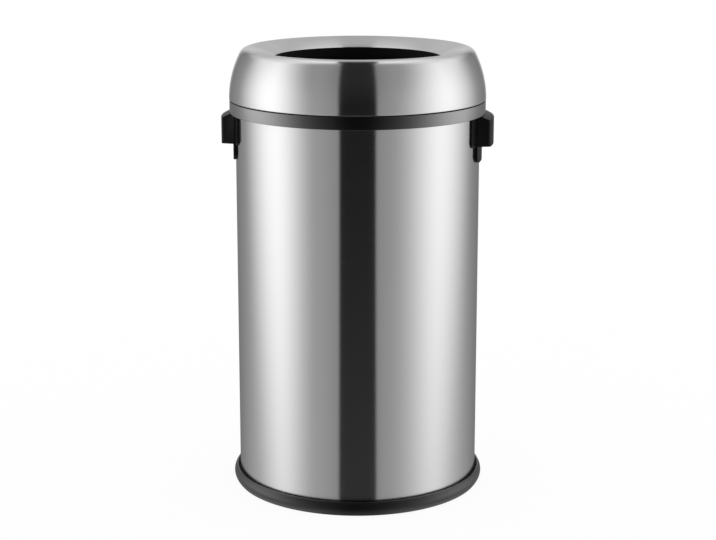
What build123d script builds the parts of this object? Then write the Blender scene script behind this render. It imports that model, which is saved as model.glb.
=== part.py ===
from build123d import *
import os
from math import asin, cos, degrees, radians, sin, sqrt

# An open-top trash can: a steel can on a rubber base, with a collar, two cup handles, a bag ring and a lid.
# Millimetres. The origin is at floor level on the can's axis, +Z is up, and the handles are at -X and +X.

# Overall sizes
BODY_R = 190.0  # outside of the steel can
COLLAR_TOP = 614.0  # floor to the collar's top face, where the lid rests
LID_H = 78.5  # lid's turned-in flange to its crest
OPENING_R = 129.0  # steel edge of the opening

# Sheet steel
SHELL_T = 0.7
PAN_T = 0.8
LID_T = 0.8
SEAM_LAP = 12.0  # width of the lapped seam at the back
SEAM_LINE_W = 0.8  # the fine line that the seam leaves outside
SEAM_LINE_DEPTH = 0.3
LAP_GAP = 1.0  # the lap stops short of the pan and the collar

# Clearances
SNUG = 0.1  # a sheet's edge in a moulded groove
LIFT_GAP = 1.0  # round pieces that lift out of the collar
SCREW_GAP = 0.25  # a screw in a plain hole

# Base ring
BASE_H = 22.0
BASE_BULGE = 9.5  # how far the ring stands proud of the can at its widest
BASE_BULGE_Z = 10.0
BASE_SHOULDER = 5.7  # proud of the can at its top edge
BASE_TREAD = 4.5  # proud of the can at the floor
BASE_WEB_T = 2.5
BASE_WEB_LIFT = 3.0  # floor to the underside of the web
BASE_WEB_W = 25.0  # how far the web runs in under the can
BASE_RIBS = 12
RIB_T = 2.0
RIB_SHY = 0.6  # the base's ribs stop short of the floor
MERGE = 1.0  # how far a rib or a boss runs into the wall that carries it

# Bottom pan
PAN_SKIRT = 11.0  # turned-up edge, welded to the shell

# Collar
COLLAR_PROUD = 9.0
COLLAR_H = 19.0
COLLAR_WALL = 2.4
COLLAR_DROP = 26.0  # top face to the underside of the bag ring's ledge
LEDGE_W = 6.5
COLLAR_RIBS = 12
COLLAR_RIB_H = 9.0

# Bag ring
BAG_RING_H = 10.5
BAG_RING_T = 2.0
BAG_LIP_W = 8.0
BAG_TAB_W = 34.0
BAG_TAB_REACH = 26.0
BAG_TAB_HOLE_R = 8.0

# Lid
LID_PROUD = 0.4  # lid's side past the collar
LID_SIDE_R = 155.0  # crown of the side, seen in section
LID_CREST_R = 15.0
LID_DISH = 21.0  # degrees that the top falls inwards
LID_FLANGE_W = 26.0
RIM_DEPTH = 11.0

# Throat ring
THROAT_WALL = 2.3
THROAT_DEPTH = 34.0  # below the steel rim
THROAT_FLARE = 4.0
THROAT_CLIP_H = 8.0

# Seat ring
SEAT_T = 1.5
SEAT_SET_BACK = 0.8
SPIGOT_H = 9.0
SPIGOT_T = 2.4
SEAT_SCREWS = 4

# Cup handles
FLANGE_T = 2.0
FLANGE_W = 139.0
FLANGE_CORNER = 9.0
FLANGE_TUCK = 5.0  # how far the flange runs up inside the collar
TONGUE_T = 4.0
TONGUE_W = 98.0
TONGUE_DROP = 26.0  # below the hood
TONGUE_CORNER = 13.0
HOOD_REACH = 22.0
HOOD_FOOT_W = 98.0
HOOD_DRAW_IN = 5.0  # how far each cheek leans in over the hood's reach
HOOD_NOSE_W = HOOD_FOOT_W - 2 * HOOD_DRAW_IN
HOOD_H = 46.5
HOOD_WALL = 3.0
HOOD_SHELF = 9.5  # level part of the roof, under the collar
HOOD_ROOF_FALL = 6.5
HOOD_NOSE_R = 6.0
HOOD_GAP = 0.3  # under the collar's lower edge
BOSS_R = 5.5
BOSS_LEN = 13.0
BOSS_MARGIN = 11.0  # from the hood's foot in to a boss's middle
BOSS_SPREAD = HOOD_FOOT_W - 2 * BOSS_MARGIN  # between the two screws
BOSS_DROP = 26.0  # the screws below the hood's roof
INSERT_R = 4.0  # hexagonal, to its corners
INSERT_LEN = 9.0
INSERT_SET_IN = 0.5

# Handle plates and screws; hexagonal heads are measured to their corners
PLATE_T = 1.5
PLATE_MARGIN = 9.0
M5_R = 2.5
M5_HEAD_R = 4.6
M5_HEAD_H = 3.5
TAPPER_R = 1.75
TAPPER_HEAD_R = 3.5
TAPPER_HEAD_H = 2.2
BITE = 2.5  # thread past the sheet that a self-tapping screw bites
TIP_GAP = 0.5  # a screw's tip short of the end of its insert
BASE_SCREWS = 4
BASE_BOLT_INSET = 13.0  # from the shell in to the base screws

# Radii and heights worked out from the sizes above
shell_in = BODY_R - SHELL_T
shell_bottom = BASE_WEB_LIFT + BASE_WEB_T
pan_top = shell_bottom + PAN_T
skirt_top = shell_bottom + PAN_SKIRT
collar_r = BODY_R + COLLAR_PROUD
collar_bottom = COLLAR_TOP - COLLAR_H
collar_web = COLLAR_TOP - COLLAR_WALL
mouth_r = shell_in - SNUG - COLLAR_WALL
ledge_under = COLLAR_TOP - COLLAR_DROP
ledge_top = ledge_under + COLLAR_WALL
ledge_in = mouth_r - LEDGE_W
bag_r = mouth_r - LIFT_GAP
lid_bottom = COLLAR_TOP + SEAT_T
lid_r = collar_r + LID_PROUD
flange_in = lid_r - LID_FLANGE_W
spigot_in = mouth_r - LIFT_GAP - SPIGOT_T
seat_bolt_r = (flange_in + spigot_in) / 2
base_bolt_r = shell_in - BASE_BOLT_INSET
hood_top = collar_bottom - HOOD_GAP
hood_bottom = hood_top - HOOD_H
boss_angle = degrees(asin(BOSS_SPREAD / 2 / BODY_R))
boss_z = hood_top - BOSS_DROP


def turned(outline):
    """A solid turned about the can's axis from a closed outline of (radius, height)."""
    return revolve(Plane.XZ * make_face(outline), Axis.Z)


def ring(r_in, r_out, z_low, z_high):
    """A plain ring of rectangular section."""
    return turned(Polyline((r_in, z_low), (r_out, z_low), (r_out, z_high), (r_in, z_high), close=True))


def rod(radius, start, end):
    """A round rod along +Z."""
    return Pos(0, 0, start) * extrude(Circle(radius), end - start)


def radially(piece, angle, height):
    """Turns a piece built along +Z so that it points straight out of the can."""
    return Rot(0, 0, angle) * Pos(0, 0, height) * Rot(0, 90, 0) * piece


def around(piece, count, start=0.0):
    """Copies of one piece, evenly spaced about the can's axis."""
    return [Rot(0, 0, start + 360 * step / count) * piece for step in range(count)]


def screw(shank_r, length, head_r, head_h):
    """A hexagon-head screw: shank up from z = 0, head below."""
    head = Pos(0, 0, -head_h) * extrude(RegularPolygon(head_r, 6), head_h)
    return head + rod(shank_r, 0, length)


# The can

def body_shell():
    """Sheet rolled to a tube, lapped and welded at the back, with the handles' holes."""
    tube = ring(shell_in, BODY_R, shell_bottom, collar_web)
    lap_low = skirt_top + LAP_GAP
    lap_high = ledge_under - LAP_GAP
    lap_zone = Pos(0, BODY_R, (lap_low + lap_high) / 2) * Box(SEAM_LAP, BODY_R, lap_high - lap_low)
    tube += ring(shell_in - SHELL_T, shell_in, lap_low, lap_high) & lap_zone
    line_y = sqrt(BODY_R**2 - (SEAM_LAP / 2) ** 2)
    tube -= Pos(SEAM_LAP / 2, line_y, COLLAR_TOP / 2) * Box(SEAM_LINE_W, 2 * SEAM_LINE_DEPTH, COLLAR_TOP)
    for side in (0, 180):
        tube -= handle_holes(M5_R + SCREW_GAP, shell_in - SHELL_T, BODY_R + SHELL_T, side)
    return tube


def bottom_pan():
    """Pressed disc that stands on the base ring's web, its turned-up edge welded inside the shell."""
    disc = rod(shell_in, shell_bottom, pan_top)
    skirt = ring(shell_in - PAN_T, shell_in, shell_bottom, skirt_top)
    hole = Pos(base_bolt_r, 0, 0) * rod(TAPPER_R, 0, skirt_top)
    return disc + skirt - around(hole, BASE_SCREWS)


def base_ring():
    """Thick moulded bumper: the shell and pan stand on its web, with ribs below."""
    tread = (BODY_R + BASE_TREAD, 0)
    shoulder = (BODY_R + BASE_SHOULDER, BASE_H)
    web_in = BODY_R - BASE_WEB_W
    bulge = ThreePointArc(tread, (BODY_R + BASE_BULGE, BASE_BULGE_Z), shoulder)
    rest = Polyline(
        shoulder,
        (BODY_R + SNUG, BASE_H),
        (BODY_R + SNUG, shell_bottom),
        (web_in, shell_bottom),
        (web_in, BASE_WEB_LIFT),
        (BODY_R, BASE_WEB_LIFT),
        (BODY_R, 0),
        tread,
    )
    rib_len = BASE_WEB_W + MERGE
    rib_h = BASE_WEB_LIFT + MERGE - RIB_SHY
    rib = Pos(web_in + rib_len / 2, 0, RIB_SHY + rib_h / 2) * Box(rib_len, RIB_T, rib_h)
    base = turned([bulge, rest]) + around(rib, BASE_RIBS, 180 / BASE_RIBS)
    hole = Pos(base_bolt_r, 0, 0) * rod(TAPPER_R + SCREW_GAP, 0, BASE_H)
    return base - around(hole, BASE_SCREWS)


def base_screws():
    """Self-tapping screws up through the web into the pan."""
    length = pan_top + BITE - BASE_WEB_LIFT
    tapper = screw(TAPPER_R, length, TAPPER_HEAD_R, TAPPER_HEAD_H)
    return Compound(around(Pos(base_bolt_r, 0, BASE_WEB_LIFT) * tapper, BASE_SCREWS))


def collar_ring():
    """Moulded cap bonded over the shell's raw top edge: skirt, ribs, inner wall and bag ring ledge."""
    skirt_in = collar_r - COLLAR_WALL
    collar = turned(
        Polyline(
            (collar_r, collar_bottom),
            (collar_r, COLLAR_TOP),
            (mouth_r, COLLAR_TOP),
            (mouth_r, ledge_top),
            (ledge_in, ledge_top),
            (ledge_in, ledge_under),
            (shell_in - SNUG, ledge_under),
            (shell_in - SNUG, collar_web),
            (skirt_in, collar_web),
            (skirt_in, collar_bottom),
            close=True,
        )
    )
    rib_low = collar_web - COLLAR_RIB_H
    rib_len = skirt_in + MERGE - BODY_R - SNUG
    rib_x = BODY_R + SNUG + rib_len / 2
    rib_h = COLLAR_RIB_H + MERGE
    rib = Pos(rib_x, 0, rib_low + rib_h / 2) * Box(rib_len, RIB_T, rib_h)
    return collar + around(rib, COLLAR_RIBS, 180 / COLLAR_RIBS)


# The cup handles, drawn at +X

def hugging_plate(r_in, thickness, width, z_low, z_high, corner=0):
    """A plate curved to the can, cut from an outline whose lower corners may be rounded."""
    outline = Pos(0, (z_low + z_high) / 2) * Rectangle(width, z_high - z_low)
    if corner:
        outline = fillet(outline.vertices().group_by(Axis.Y)[0], corner)
    slab = extrude(Plane.YZ * outline, r_in + thickness)
    return ring(r_in, r_in + thickness, z_low, z_high) & slab


def hood_block(inset, z_low):
    """The hood's outside, or its hollow when inset is the wall: tapered cheeks, sloping roof."""
    reach = BODY_R + HOOD_REACH - inset
    top = hood_top - inset
    foot = HOOD_FOOT_W / 2 - inset
    taper = (HOOD_FOOT_W - HOOD_NOSE_W) / 2 / HOOD_REACH
    narrow = foot - taper * (reach - BODY_R)
    nose_x = sqrt(reach**2 - narrow**2)
    wide = foot + taper * BODY_R
    front = ThreePointArc((nose_x, -narrow), (reach, 0), (nose_x, narrow))
    sides = Polyline((nose_x, narrow), (0, wide), (0, -wide), (nose_x, -narrow))
    plan = make_face([front, sides])
    plan = fillet(plan.vertices().sort_by(Axis.X)[-2:], HOOD_NOSE_R - inset)
    shelf_r = BODY_R + HOOD_SHELF - inset / 2
    roof = Polyline(
        (0, z_low), (reach, z_low), (reach, top - HOOD_ROOF_FALL), (shelf_r, top), (0, top), close=True
    )
    return Pos(0, 0, z_low) * extrude(plan, top - z_low) & turned(roof)


def handle_holes(radius, start, end, side=0):
    """Rods for the two screw holes of one handle."""
    return [radially(rod(radius, start, end), side + turn, boss_z) for turn in (-boss_angle, boss_angle)]


def pair_of(piece):
    """The same piece at each of a handle's two screws."""
    return Compound([radially(piece, turn, boss_z) for turn in (-boss_angle, boss_angle)])


def hexagon_bar(start, end):
    """The hexagonal outside of an insert, along +Z."""
    return Pos(0, 0, start) * extrude(RegularPolygon(INSERT_R, 6), end - start)


def cup_handle():
    """One moulding: a flange that hugs the can, a tongue, and a hood open below for the fingers."""
    tongue_low = hood_bottom - TONGUE_DROP
    handle = hugging_plate(
        BODY_R, FLANGE_T, FLANGE_W, hood_bottom, collar_bottom + FLANGE_TUCK, FLANGE_CORNER
    )
    handle += hugging_plate(BODY_R, TONGUE_T, TONGUE_W, tongue_low, hood_top - HOOD_WALL, TONGUE_CORNER)
    handle += hood_block(0, hood_bottom) - hood_block(HOOD_WALL, tongue_low)
    handle += handle_holes(BOSS_R, BODY_R - MERGE, BODY_R + BOSS_LEN)
    handle -= rod(BODY_R, tongue_low, COLLAR_TOP)
    pocket = hexagon_bar(BODY_R - MERGE, BODY_R + INSERT_SET_IN + INSERT_LEN)
    return handle - pair_of(pocket).solids()


def handle_inserts():
    """Threaded hexagonal brass inserts, held in the bosses' pockets."""
    start = BODY_R + INSERT_SET_IN
    return pair_of(hexagon_bar(start, start + INSERT_LEN) - rod(M5_R, 0, start + INSERT_LEN))


def handle_plate():
    """Curved steel plate inside the can that spreads the pull of the handle."""
    width = BOSS_SPREAD + 2 * PLATE_MARGIN
    plate = hugging_plate(
        shell_in - PLATE_T, PLATE_T, width, boss_z - PLATE_MARGIN, boss_z + PLATE_MARGIN
    )
    return plate - handle_holes(M5_R + SCREW_GAP, shell_in - 2 * PLATE_T, BODY_R)


def handle_screws():
    """M5 screws from inside the can, their heads on the curved plate."""
    seat = sqrt((shell_in - PLATE_T) ** 2 - M5_HEAD_R**2)
    tip = BODY_R + INSERT_SET_IN + INSERT_LEN - TIP_GAP
    return pair_of(Pos(0, 0, seat) * screw(M5_R, tip - seat, M5_HEAD_R, M5_HEAD_H))


# The bag ring

def bag_ring():
    """Ring that pins the bag's cuff to the collar, with two finger tabs."""
    top = ledge_top + BAG_RING_H
    lip_under = top - BAG_RING_T
    band_in = bag_r - BAG_RING_T
    lip_in = bag_r - BAG_LIP_W
    hoop = turned(
        Polyline(
            (band_in, ledge_top),
            (bag_r, ledge_top),
            (bag_r, top),
            (lip_in, top),
            (lip_in, lip_under),
            (band_in, lip_under),
            close=True,
        )
    )
    tab_len = BAG_TAB_REACH + BAG_LIP_W / 2
    tab_mid = lip_in + BAG_LIP_W / 2 - tab_len / 2
    tab = Rectangle(BAG_TAB_W, tab_len)
    tab = fillet(tab.vertices().group_by(Axis.Y)[0], BAG_TAB_W / 3)
    tab -= Pos(0, -BAG_LIP_W / 4) * Circle(BAG_TAB_HOLE_R)
    tab = Pos(0, tab_mid, lip_under) * extrude(tab, BAG_RING_T)
    return hoop + around(tab, 2)


# The lid

def lid_line():
    """The lid's outside in section, from its turned-in flange over the crest and down the rim."""
    side_turn = degrees(asin((LID_H - LID_CREST_R) / (LID_SIDE_R - LID_CREST_R)))
    flange = Line((flange_in, lid_bottom), (lid_r, lid_bottom))
    side = JernArc(flange @ 1, (0, 1), LID_SIDE_R, side_turn)
    crest = JernArc(side @ 1, side % 1, LID_CREST_R, 90 - side_turn + LID_DISH)
    top_len = ((crest @ 1).X - OPENING_R) / cos(radians(LID_DISH))
    top = Line(crest @ 1, crest @ 1 + (crest % 1) * top_len)
    rim = Line(top @ 1, top @ 1 - Vector(0, RIM_DEPTH))
    return Wire([flange, side, crest, top, rim])


rim_low = (lid_line() @ 1).Y
rim_high = rim_low + RIM_DEPTH


def lid_shell():
    """The pressed steel ring, one thickness all the way along its section."""
    shell = turned(offset(lid_line(), LID_T, side=Side.LEFT))
    hole = Pos(seat_bolt_r, 0, 0) * rod(TAPPER_R, COLLAR_TOP, lid_bottom + 2 * LID_T)
    return shell - around(hole, SEAT_SCREWS)


def lid_throat_ring():
    """Moulded chute that grips the steel rim in a groove and flares towards its lower edge."""
    inner_out = OPENING_R - SNUG
    inner_in = inner_out - THROAT_WALL
    clip_in = OPENING_R + LID_T + SNUG
    clip_out = clip_in + THROAT_WALL
    clip_top = rim_low + THROAT_CLIP_H
    hook_low = rim_low - THROAT_WALL
    low = rim_low - THROAT_DEPTH
    return turned(
        Polyline(
            (inner_in, rim_high - SNUG),
            (inner_in, hook_low),
            (inner_in + THROAT_FLARE, low),
            (inner_out + THROAT_FLARE, low),
            (inner_out, hook_low),
            (clip_out, hook_low),
            (clip_out, clip_top),
            (clip_in, clip_top),
            (clip_in, rim_low),
            (inner_out, rim_low),
            (inner_out, rim_high - SNUG),
            close=True,
        )
    )


def lid_seat_ring():
    """Moulded ring under the lid: a flange that rests on the collar and a spigot inside it."""
    flange = ring(flange_in, lid_r - SEAT_SET_BACK, COLLAR_TOP, lid_bottom)
    spigot = ring(spigot_in, spigot_in + SPIGOT_T, COLLAR_TOP - SPIGOT_H, COLLAR_TOP)
    hole = Pos(seat_bolt_r, 0, 0) * rod(TAPPER_R + SCREW_GAP, COLLAR_TOP, lid_bottom)
    return flange + spigot - around(hole, SEAT_SCREWS)


def lid_seat_screws():
    """Self-tapping screws up through the seat ring into the lid's flange."""
    length = SEAT_T + LID_T + BITE
    tapper = screw(TAPPER_R, length, TAPPER_HEAD_R, TAPPER_HEAD_H)
    return Compound(around(Pos(seat_bolt_r, 0, COLLAR_TOP) * tapper, SEAT_SCREWS))


nodes = {
    "body_shell": body_shell(),
    "bottom_pan": bottom_pan(),
    "base_ring": base_ring(),
    "base_screws": base_screws(),
    "collar_ring": collar_ring(),
    "bag_ring": bag_ring(),
    "lid_shell": lid_shell(),
    "lid_throat_ring": lid_throat_ring(),
    "lid_seat_ring": lid_seat_ring(),
    "lid_seat_screws": lid_seat_screws(),
}
handle_set = {
    "handle": cup_handle(),
    "handle_inserts": handle_inserts(),
    "handle_plate": handle_plate(),
    "handle_screws": handle_screws(),
}
for name, piece in handle_set.items():
    nodes["right_" + name] = piece
    nodes["left_" + name] = Rot(0, 0, 180) * piece

os.makedirs("parts", exist_ok=True)
for name, piece in nodes.items():
    export_step(piece, f"parts/{name}.step")
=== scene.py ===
from math import asin, ceil, cos, hypot, pi, radians, sin, tan

import bmesh
import bpy
from mathutils import Matrix, Vector


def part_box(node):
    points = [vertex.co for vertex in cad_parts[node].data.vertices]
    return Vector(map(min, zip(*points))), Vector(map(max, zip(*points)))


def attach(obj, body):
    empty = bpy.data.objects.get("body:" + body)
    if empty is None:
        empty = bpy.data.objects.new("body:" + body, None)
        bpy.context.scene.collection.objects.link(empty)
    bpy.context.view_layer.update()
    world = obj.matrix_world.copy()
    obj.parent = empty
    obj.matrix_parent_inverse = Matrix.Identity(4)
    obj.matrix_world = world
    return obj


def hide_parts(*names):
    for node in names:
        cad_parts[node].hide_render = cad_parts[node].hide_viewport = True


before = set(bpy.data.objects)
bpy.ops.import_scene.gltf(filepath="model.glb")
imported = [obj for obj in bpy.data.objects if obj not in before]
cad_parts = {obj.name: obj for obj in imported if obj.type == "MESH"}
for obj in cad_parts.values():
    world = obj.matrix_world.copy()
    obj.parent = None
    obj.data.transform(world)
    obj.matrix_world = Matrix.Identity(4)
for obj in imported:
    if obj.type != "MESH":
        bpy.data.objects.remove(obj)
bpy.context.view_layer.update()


# Base ring
# A thick bumper of black rubber, moulded in one piece. The steel shell and the pan stand on its web,
# and its bulging outside takes the knocks. A short radius rounds its top and bottom edges.

def node_of(nodes, kind, place, **settings):
    """One shader node; settings name its properties, or its inputs when they start with in_."""
    node = nodes.new(kind)
    node.location = place
    for name, value in settings.items():
        if name.startswith("in_"):
            node.inputs[name[3:].replace("_", " ")].default_value = value
        else:
            setattr(node, name, value)
    return node


def shader_group(name, inputs, outputs):
    """An empty node group with named float, colour or vector sockets, and its two end nodes."""
    group = bpy.data.node_groups.new(name, "ShaderNodeTree")
    for title, kind, value in inputs:
        socket = group.interface.new_socket(title, in_out="INPUT", socket_type="NodeSocket" + kind)
        if value is not None:
            socket.default_value = value
    for title, kind in outputs:
        group.interface.new_socket(title, in_out="OUTPUT", socket_type="NodeSocket" + kind)
    start = node_of(group.nodes, "NodeGroupInput", (-900, 0))
    end = node_of(group.nodes, "NodeGroupOutput", (900, 0))
    return group, start, end


def moulded_surface():
    """Group for moulded black surfaces: a fine spark-eroded grain, faint flow marks and rubbed edges."""
    group, start, end = shader_group(
        "moulded surface",
        [
            ("Colour", "Color", (0.02, 0.02, 0.02, 1)),
            ("Rubbed Colour", "Color", (0.08, 0.08, 0.08, 1)),
            ("Rubbing", "Float", 0.3),
            ("Grain Size", "Float", 0.0006),
            ("Grain Depth", "Float", 0.2),
            ("Roughness", "Float", 0.4),
            ("Unevenness", "Float", 0.08),
        ],
        [("Colour", "Color"), ("Roughness", "Float"), ("Normal", "Vector")],
    )
    nodes, link = group.nodes, group.links.new
    place = node_of(nodes, "ShaderNodeTexCoord", (-900, -300))
    size = node_of(nodes, "ShaderNodeMath", (-700, -150), operation="DIVIDE")
    size.inputs[0].default_value = 1
    link(start.outputs["Grain Size"], size.inputs[1])
    grain = node_of(nodes, "ShaderNodeTexNoise", (-500, -150), in_Detail=2, in_Roughness=0.6)
    link(place.outputs["Object"], grain.inputs["Vector"])
    link(size.outputs[0], grain.inputs["Scale"])
    flow = node_of(nodes, "ShaderNodeTexNoise", (-500, -450), in_Scale=38, in_Detail=4, in_Roughness=0.55)
    link(place.outputs["Object"], flow.inputs["Vector"])

    rough = node_of(nodes, "ShaderNodeMath", (-250, -450), operation="MULTIPLY_ADD")
    centred = node_of(nodes, "ShaderNodeMath", (-380, -600), operation="SUBTRACT")
    link(flow.outputs["Fac"], centred.inputs[0])
    centred.inputs[1].default_value = 0.5
    link(centred.outputs[0], rough.inputs[0])
    link(start.outputs["Unevenness"], rough.inputs[1])
    link(start.outputs["Roughness"], rough.inputs[2])
    link(rough.outputs[0], end.inputs["Roughness"])

    bump = node_of(nodes, "ShaderNodeBump", (-250, -150), in_Distance=0.0002)
    link(grain.outputs["Fac"], bump.inputs["Height"])
    link(start.outputs["Grain Depth"], bump.inputs["Strength"])
    link(bump.outputs["Normal"], end.inputs["Normal"])

    rounded_normal = node_of(nodes, "ShaderNodeBevel", (-700, 300), samples=6, in_Radius=0.0012)
    flat_normal = node_of(nodes, "ShaderNodeNewGeometry", (-700, 500))
    likeness = node_of(nodes, "ShaderNodeVectorMath", (-500, 400), operation="DOT_PRODUCT")
    link(rounded_normal.outputs["Normal"], likeness.inputs[0])
    link(flat_normal.outputs["Normal"], likeness.inputs[1])
    edge = node_of(nodes, "ShaderNodeMapRange", (-300, 400))
    edge.inputs["From Min"].default_value = 0.995
    edge.inputs["From Max"].default_value = 0.90
    link(likeness.outputs["Value"], edge.inputs["Value"])
    worn = node_of(nodes, "ShaderNodeMath", (-100, 350), operation="MULTIPLY")
    link(edge.outputs[0], worn.inputs[0])
    link(flow.outputs["Fac"], worn.inputs[1])
    share = node_of(nodes, "ShaderNodeMath", (100, 350), operation="MULTIPLY")
    link(worn.outputs[0], share.inputs[0])
    link(start.outputs["Rubbing"], share.inputs[1])
    colour = node_of(nodes, "ShaderNodeMix", (350, 250), data_type="RGBA")
    link(share.outputs[0], colour.inputs["Factor"])
    link(start.outputs["Colour"], colour.inputs["A"])
    link(start.outputs["Rubbed Colour"], colour.inputs["B"])
    link(colour.outputs["Result"], end.inputs["Colour"])
    return group


MOULDED = moulded_surface()


def moulded_material(name, colour, rubbed, roughness, ior, sheen_off_edge, coat_roughness, **grain):
    """A moulded black material: the shared surface, and a skin whose gloss rises at a glancing angle."""
    material = bpy.data.materials.new(name)
    material.use_nodes = True
    nodes, link = material.node_tree.nodes, material.node_tree.links.new
    shader = nodes["Principled BSDF"]
    shader.inputs["IOR"].default_value = ior
    shader.inputs["Coat IOR"].default_value = 4
    shader.inputs["Coat Roughness"].default_value = coat_roughness
    glance = node_of(nodes, "ShaderNodeLayerWeight", (-500, -300), in_Blend=0.5)
    skin = node_of(nodes, "ShaderNodeMath", (-300, -300), operation="MULTIPLY", use_clamp=True)
    link(glance.outputs["Facing"], skin.inputs[0])
    skin.inputs[1].default_value = sheen_off_edge
    link(skin.outputs[0], shader.inputs["Coat Weight"])
    surface = node_of(nodes, "ShaderNodeGroup", (-300, 200), node_tree=MOULDED)
    surface.inputs["Colour"].default_value = (*colour, 1)
    surface.inputs["Rubbed Colour"].default_value = (*rubbed, 1)
    surface.inputs["Roughness"].default_value = roughness
    for title, value in grain.items():
        surface.inputs[title.replace("_", " ")].default_value = value
    link(surface.outputs["Colour"], shader.inputs["Base Color"])
    link(surface.outputs["Roughness"], shader.inputs["Roughness"])
    link(surface.outputs["Normal"], shader.inputs["Normal"])
    return material


def rounded(corners, closed=True):
    """Points along an outline of (radius, height, rounding) corners, with an arc at each rounding."""
    befores = corners[-1:] + corners[:-1]
    afters = corners[1:] + corners[:1]
    points = []
    for place, (before, corner, after) in enumerate(zip(befores, corners, afters)):
        here = Vector(corner[:2])
        end_of_line = not closed and place in (0, len(corners) - 1)
        if not corner[2] or end_of_line:
            points.append(here)
            continue
        back = (Vector(before[:2]) - here).normalized()
        onward = (Vector(after[:2]) - here).normalized()
        half = back.angle(onward) / 2
        middle = here + (back + onward).normalized() * corner[2] / sin(half)
        start = here + back * corner[2] / tan(half) - middle
        stop = here + onward * corner[2] / tan(half) - middle
        turn = start.angle_signed(stop)
        steps = max(2, ceil(abs(turn) / ARC_STEP))
        for step in range(steps + 1):
            points.append(middle + Matrix.Rotation(-turn * step / steps, 2) @ start)
    return points


def spin(bm, outline):
    """Turns a closed outline of (radius, height) points round the can's axis."""
    rings = []
    for turn in range(TURNS):
        angle = 2 * pi * turn / TURNS
        rings.append([bm.verts.new((p[0] * cos(angle), p[0] * sin(angle), p[1])) for p in outline])
    for one, other in zip(rings, rings[1:] + rings[:1]):
        for place in range(len(outline)):
            following = (place + 1) % len(outline)
            bm.faces.new((one[place], other[place], other[following], one[following]))


def ribs(bm, count, r_in, r_out, z_low, z_high, thickness):
    """Radial ribs, set half a step off the handles."""
    size = Matrix.Diagonal((r_out - r_in, thickness, z_high - z_low, 1))
    place = Matrix.Translation(((r_in + r_out) / 2, 0, (z_low + z_high) / 2))
    for rib in range(count):
        turn = Matrix.Rotation(2 * pi * (rib + 0.5) / count, 4, "Z")
        bmesh.ops.create_cube(bm, size=1, matrix=turn @ place @ size)


def piece_from(name, bm, material, body, node):
    """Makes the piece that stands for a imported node, and lets it ride on that node's body."""
    bmesh.ops.recalc_face_normals(bm, faces=bm.faces)
    mesh = bpy.data.meshes.new(name)
    bm.to_mesh(mesh)
    bm.free()
    mesh.shade_smooth()
    mesh.set_sharp_from_angle(angle=SHARP_ANGLE)
    mesh.materials.append(material)
    piece = bpy.data.objects.new(name, mesh)
    bpy.context.scene.collection.objects.link(piece)
    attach(piece, body)
    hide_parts(node)
    return piece


ARC_STEP = radians(12)
SHARP_ANGLE = radians(40)
TURNS = 240
rubber = moulded_material(
    "black bumper rubber", (0.002, 0.002, 0.002), (0.02, 0.02, 0.02), 0.38, 1.38, 0.45, 0.32,
    Grain_Size=0.0008, Grain_Depth=0.25, Rubbing=0.5,
)
# A darker, duller black. It is the own black of the throat and seat rings, and painted shade on the bumper's
# top inside its lip.
dull_black_and_crevice_shade = moulded_material(
    "dull black, also painted crevice shade",
    (0.0012, 0.0012, 0.0012), (0.006, 0.006, 0.006), 0.7, 1.3, 0.0, 0.5,
)
BODY_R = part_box("body_shell")[1].x
BASE_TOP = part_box("base_ring")[1].z
BASE_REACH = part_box("base_ring")[1].x
BASE_TREAD = 0.0045  # proud of the can at the floor
BASE_SHOULDER = 0.0057
BASE_LIP_T = 0.0022  # rounded lip, inside which the top falls to the shell
BASE_LIP_FALL = 0.0022
SHADE_PAINTED_WITHIN = 0.6  # share of the lip's width, inside which the top is painted darker and duller, as painted shade of the crevice
BASE_WEB = (0.003, 0.0055)
BASE_WEB_REACH = 0.025
BASE_WEB_IN = BODY_R - BASE_WEB_REACH
EDGE_SHY = 0.00005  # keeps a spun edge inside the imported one
BASE_FIT = 0.0001
BASE_INNER = BODY_R + BASE_FIT
BULGE_STEPS = 12
TREAD_ROUNDING = 0.0004
SHOULDER_ROUNDING = 0.0010
SMALL_ROUNDING = 0.0006
BASE_RIBS = 12
RIB_T = 0.002
RIB_SINK = 0.001  # how far a rib runs into what it stiffens
RIB_OFF_FLOOR = 0.0006
tread_r = BODY_R + BASE_TREAD
shoulder_r = BODY_R + BASE_SHOULDER
below_bulge = [(tread_r, 0, TREAD_ROUNDING)]
for step in range(1, BULGE_STEPS):
    share = step / BULGE_STEPS
    across = 1 - (2 * share - 1) ** 2
    swell = BASE_REACH - EDGE_SHY - (tread_r + shoulder_r) / 2
    below_bulge.append((tread_r + (shoulder_r - tread_r) * share + swell * across, BASE_TOP * share, 0))
base_outline = rounded(
    below_bulge
    + [
        (shoulder_r, BASE_TOP, SHOULDER_ROUNDING),
        (shoulder_r - BASE_LIP_T, BASE_TOP, SMALL_ROUNDING),
        (BASE_INNER, BASE_TOP - BASE_LIP_FALL, 0),
        (BASE_INNER, BASE_WEB[1], 0),
        (BASE_WEB_IN, BASE_WEB[1], SMALL_ROUNDING),
        (BASE_WEB_IN, BASE_WEB[0], SMALL_ROUNDING),
        (BODY_R, BASE_WEB[0], SMALL_ROUNDING),
        (BODY_R, 0, SMALL_ROUNDING),
    ]
)
bm = bmesh.new()
spin(bm, base_outline)
ribs(bm, BASE_RIBS, BASE_WEB_IN, BODY_R + RIB_SINK, RIB_OFF_FLOOR, BASE_WEB[0] + RIB_SINK, RIB_T)
base_piece = piece_from("bumper_base", bm, rubber, "can", "base_ring")
# The bumper's top inside the lip gets the darker, duller black: painted shade of the crevice along the
# shell.
base_piece.data.materials.append(dull_black_and_crevice_shade)
for face in base_piece.data.polygons:
    face_r = hypot(face.center.x, face.center.y)
    if face_r < shoulder_r - BASE_LIP_T * SHADE_PAINTED_WITHIN:
        face.material_index = 1


# Bottom pan
# A pressed steel disc with a turned-up edge, which stands on the bumper's web and closes the can.
# It is left in its mill finish.

GRAIN_RADIUS = 0.19  # the brushed lines have their stated length this far from the axis


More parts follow.
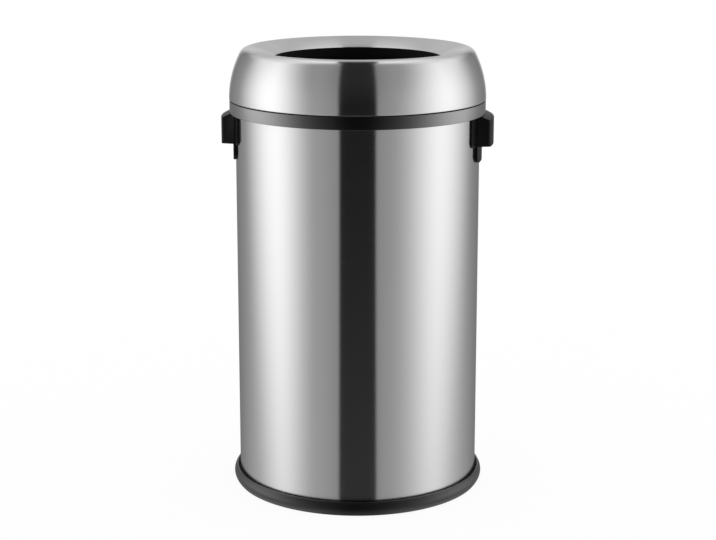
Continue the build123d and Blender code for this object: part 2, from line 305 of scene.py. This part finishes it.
def brushed_surface():
    """Group for brushed steel: fine lines that run round the axis, on a side or across a top."""
    group, start, end = shader_group(
        "brushed surface",
        [
            ("Colour", "Color", (0.6, 0.6, 0.6, 1)),
            ("Line Length", "Float", 0.06),
            ("Line Width", "Float", 0.0003),
            ("Line Depth", "Float", 0.1),
            ("Shade", "Float", 0.06),
            ("Roughness", "Float", 0.3),
            ("Unevenness", "Float", 0.1),
        ],
        [("Colour", "Color"), ("Roughness", "Float"), ("Normal", "Vector")],
    )
    nodes, link = group.nodes, group.links.new
    place = node_of(nodes, "ShaderNodeTexCoord", (-1500, 0))
    split = node_of(nodes, "ShaderNodeSeparateXYZ", (-1350, 0))
    link(place.outputs["Object"], split.inputs[0])
    flat = node_of(nodes, "ShaderNodeCombineXYZ", (-1200, 100))
    link(split.outputs["X"], flat.inputs["X"])
    link(split.outputs["Y"], flat.inputs["Y"])
    radius = node_of(nodes, "ShaderNodeVectorMath", (-1050, -50), operation="LENGTH")
    link(flat.outputs[0], radius.inputs[0])
    outward = node_of(nodes, "ShaderNodeVectorMath", (-1050, 150), operation="NORMALIZE")
    link(flat.outputs[0], outward.inputs[0])
    along = node_of(nodes, "ShaderNodeVectorMath", (-900, 150), operation="SCALE")
    link(outward.outputs[0], along.inputs[0])
    length = node_of(nodes, "ShaderNodeMath", (-1050, 320), operation="DIVIDE")
    length.inputs[0].default_value = GRAIN_RADIUS
    link(start.outputs["Line Length"], length.inputs[1])
    link(length.outputs[0], along.inputs["Scale"])
    across = node_of(nodes, "ShaderNodeMath", (-900, -100), operation="SUBTRACT")
    link(split.outputs["Z"], across.inputs[0])
    link(radius.outputs["Value"], across.inputs[1])
    steps = node_of(nodes, "ShaderNodeMath", (-750, -100), operation="DIVIDE")
    link(across.outputs[0], steps.inputs[0])
    link(start.outputs["Line Width"], steps.inputs[1])
    rise = node_of(nodes, "ShaderNodeCombineXYZ", (-600, -100))
    link(steps.outputs[0], rise.inputs["Z"])
    where = node_of(nodes, "ShaderNodeVectorMath", (-450, 50), operation="ADD")
    link(along.outputs[0], where.inputs[0])
    link(rise.outputs[0], where.inputs[1])
    fine = node_of(nodes, "ShaderNodeTexNoise", (-250, 100), in_Scale=1, in_Detail=3, in_Roughness=0.65)
    link(where.outputs[0], fine.inputs["Vector"])
    wide = node_of(nodes, "ShaderNodeTexNoise", (-250, -200), in_Scale=0.11, in_Detail=4, in_Roughness=0.6)
    link(where.outputs[0], wide.inputs["Vector"])
    both = node_of(nodes, "ShaderNodeMath", (-50, 0), operation="ADD")
    link(fine.outputs["Fac"], both.inputs[0])
    link(wide.outputs["Fac"], both.inputs[1])
    lines = node_of(nodes, "ShaderNodeMath", (80, 0), operation="SUBTRACT")
    link(both.outputs[0], lines.inputs[0])
    lines.inputs[1].default_value = 1

    rough = node_of(nodes, "ShaderNodeMath", (300, -100), operation="MULTIPLY_ADD")
    link(lines.outputs[0], rough.inputs[0])
    link(start.outputs["Unevenness"], rough.inputs[1])
    link(start.outputs["Roughness"], rough.inputs[2])
    link(rough.outputs[0], end.inputs["Roughness"])
    shade = node_of(nodes, "ShaderNodeMath", (300, 200), operation="MULTIPLY_ADD")
    link(lines.outputs[0], shade.inputs[0])
    link(start.outputs["Shade"], shade.inputs[1])
    shade.inputs[2].default_value = 1
    colour = node_of(nodes, "ShaderNodeVectorMath", (500, 200), operation="SCALE")
    link(start.outputs["Colour"], colour.inputs[0])
    link(shade.outputs[0], colour.inputs["Scale"])
    link(colour.outputs[0], end.inputs["Colour"])
    bump = node_of(nodes, "ShaderNodeBump", (300, -350), in_Distance=0.0001)
    link(lines.outputs[0], bump.inputs["Height"])
    link(start.outputs["Line Depth"], bump.inputs["Strength"])
    link(bump.outputs["Normal"], end.inputs["Normal"])
    return group


BRUSHED = brushed_surface()


def steel_material(name, colour, roughness, anisotropy, **lines):
    """A steel material: the shared brushed lines, and a highlight drawn out across them."""
    material = bpy.data.materials.new(name)
    material.use_nodes = True
    nodes, link = material.node_tree.nodes, material.node_tree.links.new
    shader = nodes["Principled BSDF"]
    shader.inputs["Metallic"].default_value = 1
    shader.inputs["Anisotropic"].default_value = anisotropy
    shader.inputs["Anisotropic Rotation"].default_value = 0.25
    round_axis = node_of(nodes, "ShaderNodeTangent", (-300, -300), direction_type="RADIAL", axis="Z")
    link(round_axis.outputs["Tangent"], shader.inputs["Tangent"])
    surface = node_of(nodes, "ShaderNodeGroup", (-300, 200), node_tree=BRUSHED)
    surface.inputs["Colour"].default_value = (*colour, 1)
    surface.inputs["Roughness"].default_value = roughness
    for title, value in lines.items():
        surface.inputs[title.replace("_", " ")].default_value = value
    link(surface.outputs["Colour"], shader.inputs["Base Color"])
    link(surface.outputs["Roughness"], shader.inputs["Roughness"])
    link(surface.outputs["Normal"], shader.inputs["Normal"])
    return material


mill_steel = steel_material(
    "mill finish steel", (0.42, 0.42, 0.43), 0.42, 0.3, Line_Length=0.02, Line_Width=0.0008
)
PAN_LOW, PAN_HIGH = (corner.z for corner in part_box("bottom_pan"))
PAN_T = 0.0008
PAN_BEND = 0.0024
SHELL_T = 0.0007  # the can's own sheet
PAN_R = BODY_R - SHELL_T
SAME_PLACE = 0.00001  # points nearer to each other than this are one
pan_path = [(0, PAN_LOW, 0), (PAN_R, PAN_LOW, PAN_BEND), (PAN_R, PAN_HIGH, 0)]


def sheet(path, thickness):
    """The closed outline of a sheet, from the line of its outside, with the sheet on its left."""
    outside = rounded(path, closed=False)
    inside = []
    for place, here in enumerate(outside):
        before = outside[max(place - 1, 0)]
        after = outside[min(place + 1, len(outside) - 1)]
        along = (after - before).normalized()
        inside.append(here + Vector((-along.y, along.x)) * thickness)
    return outside + inside[::-1]


bm = bmesh.new()
spin(bm, sheet(pan_path, PAN_T))
bmesh.ops.remove_doubles(bm, verts=bm.verts, dist=SAME_PLACE)
on_axis = [edge for edge in bm.edges if edge.is_wire]
bmesh.ops.delete(bm, geom=on_axis, context="EDGES")
piece_from("pressed_bottom", bm, mill_steel, "can", "bottom_pan")


# Base screws
# Zinc-plated steel screws, driven up through the bumper's web into the pan.

EASED_ANGLE = radians(32)
FLAT_ANGLE = radians(1)
EDGE_EASING = 0.0003


def eased(piece, width):
    """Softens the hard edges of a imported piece, as moulding and deburring do."""
    weld = piece.modifiers.new("weld", "WELD")
    weld.merge_threshold = SAME_PLACE
    flat = piece.modifiers.new("flat faces", "DECIMATE")
    flat.decimate_type = "DISSOLVE"
    flat.angle_limit = FLAT_ANGLE
    bevel = piece.modifiers.new("eased edges", "BEVEL")
    bevel.width = width
    bevel.segments = 2
    bevel.limit_method = "ANGLE"
    bevel.angle_limit = EASED_ANGLE
    bevel.harden_normals = True


def dress(node, material):
    """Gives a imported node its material."""
    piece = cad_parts[node]
    piece.data.materials.clear()
    piece.data.materials.append(material)
    return piece


def metal_material(name, colour, roughness):
    """Screws and inserts: a plain metal with faint stains."""
    return steel_material(name, colour, roughness, 0.0, Line_Length=0.004, Line_Width=0.002, Line_Depth=0.05)


zinc = metal_material("zinc plating", (0.62, 0.63, 0.66), 0.32)
eased(dress("base_screws", zinc), EDGE_EASING)


# Body shell
# Stainless sheet rolled to a tube, lapped and welded at the back. It is brushed round the can, so
# lights are drawn out up and down it, and stay crisp from side to side.

body_steel = steel_material(
    "brushed steel of the can", (0.66, 0.66, 0.66), 0.17, 1.0, Shade=0.03, Unevenness=0.04
)
dress("body_shell", body_steel)


# Collar
# A satin black moulding, bonded over the shell's raw top edge. Inside it has a ledge for the bag ring,
# and ribs stiffen its skirt from within.

satin_black = moulded_material(
    "satin black moulding", (0.002, 0.002, 0.002), (0.02, 0.02, 0.02), 0.34, 1.30, 2.1, 0.25,
)
COLLAR_LOW = 0.595  # foot of the outer skirt
COLLAR_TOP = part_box("collar_ring")[1].z
COLLAR_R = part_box("collar_ring")[1].x
COLLAR_WALL = 0.0024
COLLAR_WEB = COLLAR_TOP - COLLAR_WALL
COLLAR_RIBS = 12
COLLAR_RIB_DEPTH = 0.009
BOND_GAP = 0.0001
MOUTH_ROUNDING = 0.0010
CORNER_ROUNDING = 0.0005
LEDGE_REACH = 0.0065
MOUTH_R = BODY_R - SHELL_T - BOND_GAP - COLLAR_WALL
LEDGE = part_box("collar_ring")[0].z
LEDGE_IN = MOUTH_R - LEDGE_REACH
collar_outline = rounded(
    [
        (COLLAR_R, COLLAR_LOW, SMALL_ROUNDING),
        (COLLAR_R, COLLAR_TOP, SMALL_ROUNDING),
        (MOUTH_R, COLLAR_TOP, MOUTH_ROUNDING),
        (MOUTH_R, LEDGE + COLLAR_WALL, CORNER_ROUNDING),
        (LEDGE_IN, LEDGE + COLLAR_WALL, SMALL_ROUNDING),
        (LEDGE_IN, LEDGE, SMALL_ROUNDING),
        (MOUTH_R + COLLAR_WALL, LEDGE, SMALL_ROUNDING),
        (MOUTH_R + COLLAR_WALL, COLLAR_WEB, 0),
        (COLLAR_R - COLLAR_WALL, COLLAR_WEB, CORNER_ROUNDING),
        (COLLAR_R - COLLAR_WALL, COLLAR_LOW, SMALL_ROUNDING),
    ]
)
bm = bmesh.new()
spin(bm, collar_outline)
ribs(
    bm, COLLAR_RIBS, BODY_R + BOND_GAP, COLLAR_R - RIB_SINK,
    COLLAR_WEB - COLLAR_RIB_DEPTH, COLLAR_WEB + RIB_SINK, RIB_T,
)
piece_from("top_collar", bm, satin_black, "can", "collar_ring")


# Cup handles
# Black mouldings screwed to the can from inside, each in one piece: a flange that follows the can, a
# hood that is hollow underneath for four fingers, and a tongue below it.

handle_black = moulded_material(
    "black of the handles", (0.003, 0.003, 0.003), (0.03, 0.03, 0.03), 0.36, 1.14, 0.11, 0.30,
)
HOOD_ROUNDING = 0.0045  # along the roof's outer edge and round the nose
PLAIN_ROUNDING = 0.0008
ROUNDING_STEPS = 5
HARD_EDGE = radians(28)
NOSE_FROM = 0.2105  # the hood's outside lies past this radius, its hollow within it


def hard_edges(bm):
    """The moulding's edges between faces that meet at a clear angle."""
    return [edge for edge in bm.edges if edge.is_manifold and edge.calc_face_angle(0) > HARD_EDGE]


def on_outside(edge):
    """True for the roof's outer edge and the nose, and for nothing of the hollow."""
    radii = [hypot(vert.co.x, vert.co.y) for vert in edge.verts]
    return min(radii) > NOSE_FROM


for side in ("left", "right"):
    name = side + "_handle"
    bm = bmesh.new()
    bm.from_mesh(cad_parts[name].data)
    bmesh.ops.remove_doubles(bm, verts=bm.verts, dist=SAME_PLACE)
    bmesh.ops.dissolve_limit(bm, angle_limit=FLAT_ANGLE, verts=bm.verts, edges=bm.edges)
    outer = [edge for edge in hard_edges(bm) if on_outside(edge)]
    bmesh.ops.bevel(
        bm, geom=outer, offset=HOOD_ROUNDING, segments=ROUNDING_STEPS,
        profile=0.5, affect="EDGES", clamp_overlap=True,
    )
    handle = piece_from(side + "_cup_handle", bm, handle_black, "can", name)
    plain = handle.modifiers.new("eased edges", "BEVEL")
    plain.width = PLAIN_ROUNDING
    plain.segments = 2
    plain.limit_method = "ANGLE"
    plain.angle_limit = EASED_ANGLE
    plain.harden_normals = True


# Handle fixings
# Behind each handle a curved steel plate backs the thin sheet. Zinc-plated screws pass through the
# plate and the can into hexagonal brass inserts in the handle's bosses.

brass = metal_material("brass", (0.72, 0.53, 0.25), 0.35)
for side in ("left", "right"):
    eased(dress(side + "_handle_plate", mill_steel), EDGE_EASING)
    eased(dress(side + "_handle_screws", zinc), EDGE_EASING)
    eased(dress(side + "_handle_inserts", brass), EDGE_EASING)


# Bag ring
# A black moulded ring that drops into the collar and pins the cuff of the bag. Two tabs with finger
# holes lift it out.

BAG_RING_EASING = 0.0004
eased(dress("bag_ring", satin_black), BAG_RING_EASING)


# Lid
# A pressed stainless ring, brushed round its axis. Its crowned side turns over a crest and falls
# inwards to the opening, and its lower edge is turned in as a flange.

def arc(middle, radius, start, stop, steps):
    """Corners without rounding along an arc, with angles in degrees."""
    angles = [radians(start + (stop - start) * step / steps) for step in range(steps + 1)]
    return [(middle[0] + radius * cos(a), middle[1] + radius * sin(a), 0) for a in angles]


lid_steel = steel_material(
    "brushed steel of the lid", (0.66, 0.66, 0.66), 0.18, 1.0, Shade=0.04, Unevenness=0.05
)
LID_LOW, LID_TOP = (corner.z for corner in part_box("lid_shell"))
LID_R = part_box("lid_shell")[1].x
LID_T = 0.0008
LID_FLANGE_W = 0.026
LID_FLANGE_IN = LID_R - LID_FLANGE_W
LID_SIDE_R = 0.155  # crown of the side, seen in section
LID_CREST_R = 0.015
LID_DISH = (15, 27)  # degrees that the top falls inwards, at the crest and at the opening
OPENING_R = 0.129
HEM_ROUNDING = 0.0011
RIM_BEND = 0.0014
CHUTE_BELOW_RIM = 0.034
SIDE_START = 1.0  # degrees up the side's curve, where the hem ends
SIDE_STEPS = 16
CREST_STEPS = 22
DISH_STEPS = 12
RIM_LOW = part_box("lid_throat_ring")[0].z + CHUTE_BELOW_RIM
crest_rise = LID_TOP - LID_CREST_R - LID_LOW
lid_side_turn = asin(crest_rise / (LID_SIDE_R - LID_CREST_R))
side_middle = (LID_R - LID_SIDE_R, LID_LOW)
crest_middle = (side_middle[0] + (LID_SIDE_R - LID_CREST_R) * cos(lid_side_turn), LID_LOW + crest_rise)
dish_start, dish_end = (radians(angle) for angle in LID_DISH)
crest_end_r = crest_middle[0] - LID_CREST_R * sin(dish_start)
dish_r = (crest_end_r - OPENING_R) / (sin(dish_end) - sin(dish_start))
dish_middle = (
    crest_middle[0] + (dish_r - LID_CREST_R) * sin(dish_start),
    crest_middle[1] - (dish_r - LID_CREST_R) * cos(dish_start),
)
side_degrees = lid_side_turn * 180 / pi
lid_path = [(LID_FLANGE_IN, LID_LOW, 0), (LID_R, LID_LOW, HEM_ROUNDING)]
lid_path += arc(side_middle, LID_SIDE_R, SIDE_START, side_degrees, SIDE_STEPS)
lid_path += arc(crest_middle, LID_CREST_R, side_degrees, 90 + LID_DISH[0], CREST_STEPS)[1:]
lid_path += arc(dish_middle, dish_r, 90 + LID_DISH[0], 90 + LID_DISH[1], DISH_STEPS)[1:-1]
lid_path += [
    (OPENING_R, dish_middle[1] + dish_r * cos(dish_end), RIM_BEND),
    (OPENING_R, RIM_LOW, 0),
]
bm = bmesh.new()
spin(bm, sheet(lid_path, LID_T))
piece_from("lid_cover", bm, lid_steel, "lid", "lid_shell")


# Throat ring
# A dull black moulded chute on the steel rim of the opening. It covers the rim's edge and guides the
# waste into the bag.

dress("lid_throat_ring", dull_black_and_crevice_shade)


# Seat ring
# A dull black moulded ring under the lid's flange, on which the lid sits in the collar. From outside
# it shows as the thin dark line over the collar.

eased(dress("lid_seat_ring", dull_black_and_crevice_shade), EDGE_EASING)


# Seat screws
# Zinc-plated steel screws, driven up through the seat ring into the lid's flange.

eased(dress("lid_seat_screws", zinc), EDGE_EASING)


# Studio
# A white floor under an even white sky. The metal sees a light tent round the can instead: bright at
# both sides, grey in front and behind, with a black card at the front.

CAMERA_TURN = radians(4.5)  # the view comes from a little towards the right-hand handle
CAMERA_AWAY = 2.8053
CAMERA_HIGH = 1.0028
CAMERA_TILT = radians(13.29)
CAMERA_ASIDE = 0.0006
LENS = 91.19

FLOOR_R = 40.0
FLOOR_WHITE = 0.97
FLOOR_GLOW = 0.92  # share of the floor's white that the can's shadow doesn't take
TENT_R = 8.0
TENT_MIDDLE = 0.35

world = bpy.data.worlds.new("white sky")
world.use_nodes = True
world.node_tree.nodes["Background"].inputs["Color"].default_value = (1, 1, 1, 1)
world.node_tree.nodes["Background"].inputs["Strength"].default_value = 1.0
bpy.context.scene.world = world

bm = bmesh.new()
bmesh.ops.create_circle(bm, cap_ends=True, segments=96, radius=FLOOR_R)
floor_mesh = bpy.data.meshes.new("floor")
bm.to_mesh(floor_mesh)
bm.free()
floor = bpy.data.objects.new("floor", floor_mesh)
bpy.context.scene.collection.objects.link(floor)
floor_white = bpy.data.materials.new("white floor")
floor_white.use_nodes = True
nodes, link = floor_white.node_tree.nodes, floor_white.node_tree.links.new
paint = nodes["Principled BSDF"]
paint.inputs["Base Color"].default_value = (FLOOR_WHITE, FLOOR_WHITE, FLOOR_WHITE, 1)
paint.inputs["Roughness"].default_value = 1.0
paint.inputs["Specular IOR Level"].default_value = 0.0
ray = node_of(nodes, "ShaderNodeLightPath", (-500, 300))
share = node_of(nodes, "ShaderNodeMath", (-300, 300), operation="MULTIPLY")
link(ray.outputs["Is Camera Ray"], share.inputs[0])
share.inputs[1].default_value = FLOOR_GLOW
glow = node_of(nodes, "ShaderNodeEmission", (0, -300), in_Strength=1.0)
mix = node_of(nodes, "ShaderNodeMixShader", (200, 100))
link(share.outputs[0], mix.inputs[0])
link(paint.outputs[0], mix.inputs[1])
link(glow.outputs[0], mix.inputs[2])
# From below the floor is clear, so that the underside shows
side_seen = node_of(nodes, "ShaderNodeNewGeometry", (200, 400))
clear = node_of(nodes, "ShaderNodeBsdfTransparent", (200, -200))
from_below = node_of(nodes, "ShaderNodeMixShader", (400, 100))
link(side_seen.outputs["Backfacing"], from_below.inputs[0])
link(mix.outputs[0], from_below.inputs[1])
link(clear.outputs[0], from_below.inputs[2])
link(from_below.outputs[0], nodes["Material Output"].inputs["Surface"])
floor_mesh.materials.append(floor_white)
floor.visible_glossy = False

# The light tent's lights, by their place round the can in degrees from the camera's side, and upwards.
# A fade is given as its start, its end and how much it adds or takes.
FRONT_LIGHT = 0.36
SIDES_RISE = (17, 40, 0.09)
REAR_DROP = (110, 165, 0.23)
UPWARD_DROP = (5, 40, 0.08)
REAR_PANEL = (154, 170, 0.40)
REAR_PANEL_FOOT = (-10, 0)
REAR_PANEL_HEAD = (46, 22)
OVERHEAD_RISE = (50, 80, 0.12)
UPPER_REAR = (16, 34, 0.50)
UPPER_REAR_SIDES = (98, 122)
UPPER_REAR_MIDDLE = (150, 175, 0.62)
LEFT_BOX = dict(light=1.12, front=(36, 82), back=(86, 134))
RIGHT_BOX = dict(light=1.00, front=(30, 85), back=(86, 138))
BOX_LEAN = 1.6  # degrees that a box's back edge comes forward for each degree below its middle
BOX_MIDDLE = -8.7
BOX_FOOT = (BOX_MIDDLE, -40, 0.9)
BOX_HEAD = (10, 60, 0.35)
BOX_NARROWING = (8, 48, 14)
TOP_BANK_HIGH = radians(65)  # a soft light above and behind
TOP_BANK = Vector((0, cos(TOP_BANK_HIGH), sin(TOP_BANK_HIGH)))
TOP_BANK_SPREAD = (0.84, 1.0, 0.40)
CARD_HALF = 0.281  # half the dark card's width, as a share of the tent's radius
CARD_EDGE = 0.010
CARD_NARROWING = (10, 88, 0.12)
CARD_CLOSING = (0.0, 0.5, 0.09)
CARD_END = (0.50, 0.32)
CARD_LIGHT = 0.008
CARD_LOW_RISE = (-8, -21, 0.030)
CARD_HIGH_RISE = (-5, 35, 0.022)
FLOOR_BOUNCE = (-30, -50, 0.16)

bm = bmesh.new()
bmesh.ops.create_uvsphere(bm, u_segments=96, v_segments=48, radius=TENT_R)
tent_mesh = bpy.data.meshes.new("light_tent")
bm.to_mesh(tent_mesh)
bm.free()
tent = bpy.data.objects.new("light_tent", tent_mesh)
bpy.context.scene.collection.objects.link(tent)
tent.location.z = TENT_MIDDLE
tent.rotation_euler.z = CAMERA_TURN
tent_light = bpy.data.materials.new("light tent")
tent_light.use_nodes = True
tent_light.cycles.emission_sampling = "NONE"
nodes, link = tent_light.node_tree.nodes, tent_light.node_tree.links.new
nodes.clear()


def worked(operation, *values):
    """The output of a Math node on numbers and sockets."""
    node = nodes.new("ShaderNodeMath")
    node.operation = operation
    for socket, value in zip(node.inputs, values):
        if isinstance(value, (int, float)):
            socket.default_value = value
        else:
            link(value, socket)
    return node.outputs[0]


def fade(value, start, end, light=1.0):
    """A smooth rise from 0 at start to light at end."""
    node = node_of(nodes, "ShaderNodeMapRange", (0, 0), interpolation_type="SMOOTHSTEP")
    link(value, node.inputs["Value"])
    node.inputs["From Min"].default_value = start
    node.inputs["From Max"].default_value = end
    node.inputs["To Max"].default_value = light
    return node.outputs[0]


place = node_of(nodes, "ShaderNodeTexCoord", (0, 0))
outward = node_of(nodes, "ShaderNodeVectorMath", (0, 0), operation="NORMALIZE")
link(place.outputs["Object"], outward.inputs[0])
split = node_of(nodes, "ShaderNodeSeparateXYZ", (0, 0))
link(outward.outputs[0], split.inputs[0])
to_side, to_back, upward = split.outputs
turned = worked("DEGREES", worked("ARCTAN2", to_side, worked("MULTIPLY", to_back, -1)))
either_side = worked("ABSOLUTE", turned)
height = worked("DEGREES", worked("ARCSINE", upward))

wash = worked("ADD", FRONT_LIGHT, fade(either_side, *SIDES_RISE))
wash = worked("SUBTRACT", wash, fade(either_side, *REAR_DROP))
wash = worked("SUBTRACT", wash, fade(height, *UPWARD_DROP))
rear_panel = worked("MULTIPLY", fade(height, *REAR_PANEL_FOOT), fade(height, *REAR_PANEL_HEAD))
wash = worked("ADD", wash, worked("MULTIPLY", fade(either_side, *REAR_PANEL), rear_panel))
wash = worked("ADD", wash, fade(height, *OVERHEAD_RISE))
upper_rear = worked("MULTIPLY", fade(height, *UPPER_REAR), fade(either_side, *UPPER_REAR_SIDES))
rear_middle = worked("SUBTRACT", 1, fade(either_side, *UPPER_REAR_MIDDLE))
wash = worked("ADD", wash, worked("MULTIPLY", upper_rear, rear_middle))
strength = worked("SUBTRACT", 1, fade(height, *BOX_FOOT))
strength = worked("SUBTRACT", strength, fade(height, *BOX_HEAD))
below = worked("MINIMUM", 0, worked("SUBTRACT", height, BOX_MIDDLE))
leaning = worked("MULTIPLY", below, -BOX_LEAN)
narrowing = fade(height, *BOX_NARROWING)
for box, side in ((LEFT_BOX, -1), (RIGHT_BOX, 1)):
    along = worked("MULTIPLY", turned, side)
    front = fade(worked("SUBTRACT", along, narrowing), *box["front"], box["light"])
    back = worked("SUBTRACT", 1, fade(worked("ADD", along, leaning), *box["back"]))
    wash = worked("ADD", wash, worked("MULTIPLY", worked("MULTIPLY", front, back), strength))
towards = node_of(nodes, "ShaderNodeVectorMath", (0, 0), operation="DOT_PRODUCT")
link(outward.outputs[0], towards.inputs[0])
towards.inputs[1].default_value = TOP_BANK
wash = worked("ADD", wash, fade(towards.outputs["Value"], *TOP_BANK_SPREAD))

off_middle = worked("ADD", worked("ABSOLUTE", to_side), fade(height, *CARD_NARROWING))
off_middle = worked("ADD", off_middle, fade(to_back, *CARD_CLOSING))
card = fade(off_middle, CARD_HALF + CARD_EDGE, CARD_HALF - CARD_EDGE)
card = worked("MULTIPLY", card, fade(to_back, *CARD_END))
card_light = worked("ADD", CARD_LIGHT, fade(height, *CARD_LOW_RISE))
card_light = worked("ADD", card_light, fade(height, *CARD_HIGH_RISE))
shown = worked("ADD", wash, worked("MULTIPLY", card, worked("SUBTRACT", card_light, wash)))
shown = worked("ADD", shown, fade(height, *FLOOR_BOUNCE))
glow = node_of(nodes, "ShaderNodeEmission", (0, 0))
link(shown, glow.inputs["Strength"])
out = node_of(nodes, "ShaderNodeOutputMaterial", (200, 0))
link(glow.outputs[0], out.inputs["Surface"])
tent_mesh.materials.append(tent_light)
tent.visible_camera = False
tent.visible_diffuse = False
tent.visible_shadow = False
tent.visible_transmission = False

camera = bpy.data.objects.new("camera", bpy.data.cameras.new("camera"))
bpy.context.scene.collection.objects.link(camera)
camera.data.lens = LENS
camera.location = (
    CAMERA_AWAY * sin(CAMERA_TURN) + CAMERA_ASIDE,
    -CAMERA_AWAY * cos(CAMERA_TURN),
    CAMERA_HIGH,
)
camera.rotation_euler = (pi / 2 - CAMERA_TILT, 0, CAMERA_TURN)
bpy.context.scene.camera = camera
bpy.context.scene.view_settings.view_transform = "Standard"
